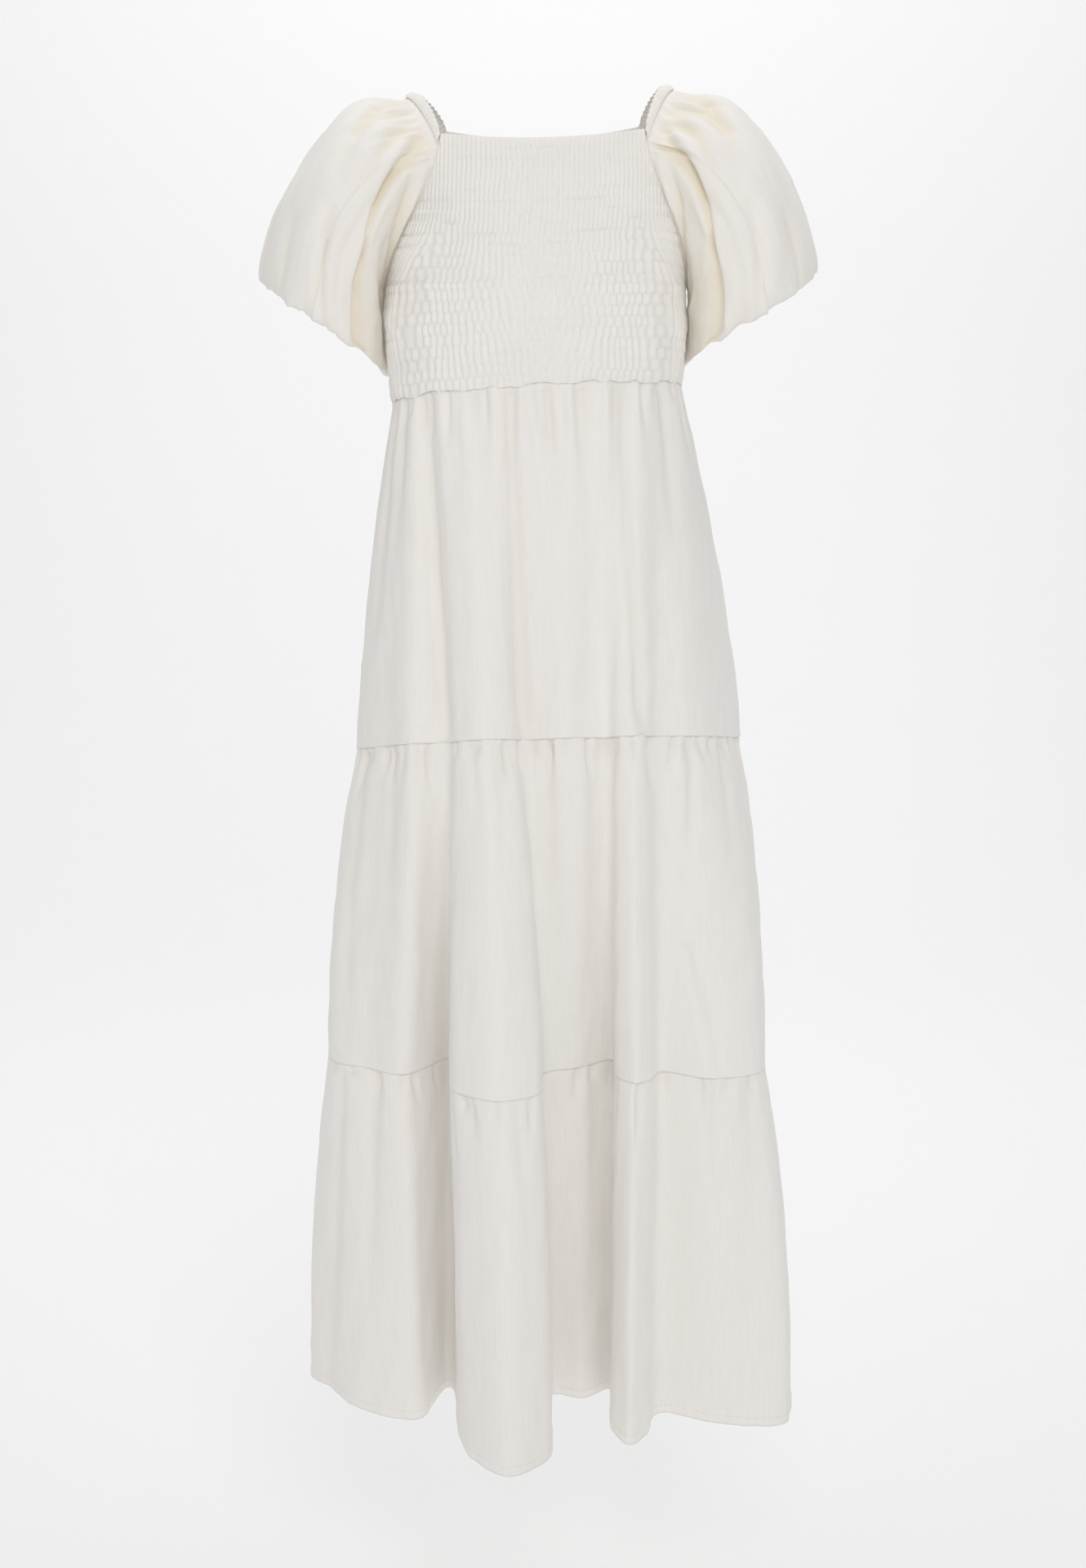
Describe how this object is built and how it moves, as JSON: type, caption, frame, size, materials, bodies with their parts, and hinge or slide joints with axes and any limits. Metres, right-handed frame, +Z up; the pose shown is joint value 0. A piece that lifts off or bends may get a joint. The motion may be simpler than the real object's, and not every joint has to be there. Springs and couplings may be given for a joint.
{
  "type": "puff sleeve dress",
  "caption": "Long ivory puff sleeve dress with a shirred square-neck bodice and a gathered tiered skirt, shown worn.",
  "frame": {"origin": "midway between the two shoulders, at the level of the sleeves' neck edges, where the wearer holds the dress up", "axes": "+Z up, -Y the front of the dress, +X towards the wearer's left"},
  "size_m": [0.524, 0.34, 1.301],
  "materials": {
    "ivory_cloth": "matt crinkled weave",
    "shirred_cloth": "matt crinkled weave, shirred",
    "casing_cloth": "matt crinkled weave over elastic"
  },
  "bodies": {
    "root": {"bodice_front": "shirred_cloth", "bodice_back": "shirred_cloth", "neck_casing_left": "casing_cloth", "neck_casing_right": "casing_cloth", "sleeve_left": "ivory_cloth", "sleeve_right": "ivory_cloth", "cuff_left": "casing_cloth", "cuff_right": "casing_cloth", "skirt_upper_front": "ivory_cloth", "skirt_upper_back": "ivory_cloth", "skirt_middle_front": "ivory_cloth", "skirt_middle_back": "ivory_cloth", "skirt_lower_front": "ivory_cloth", "skirt_lower_back": "ivory_cloth"}
  },
  "joints": []
}
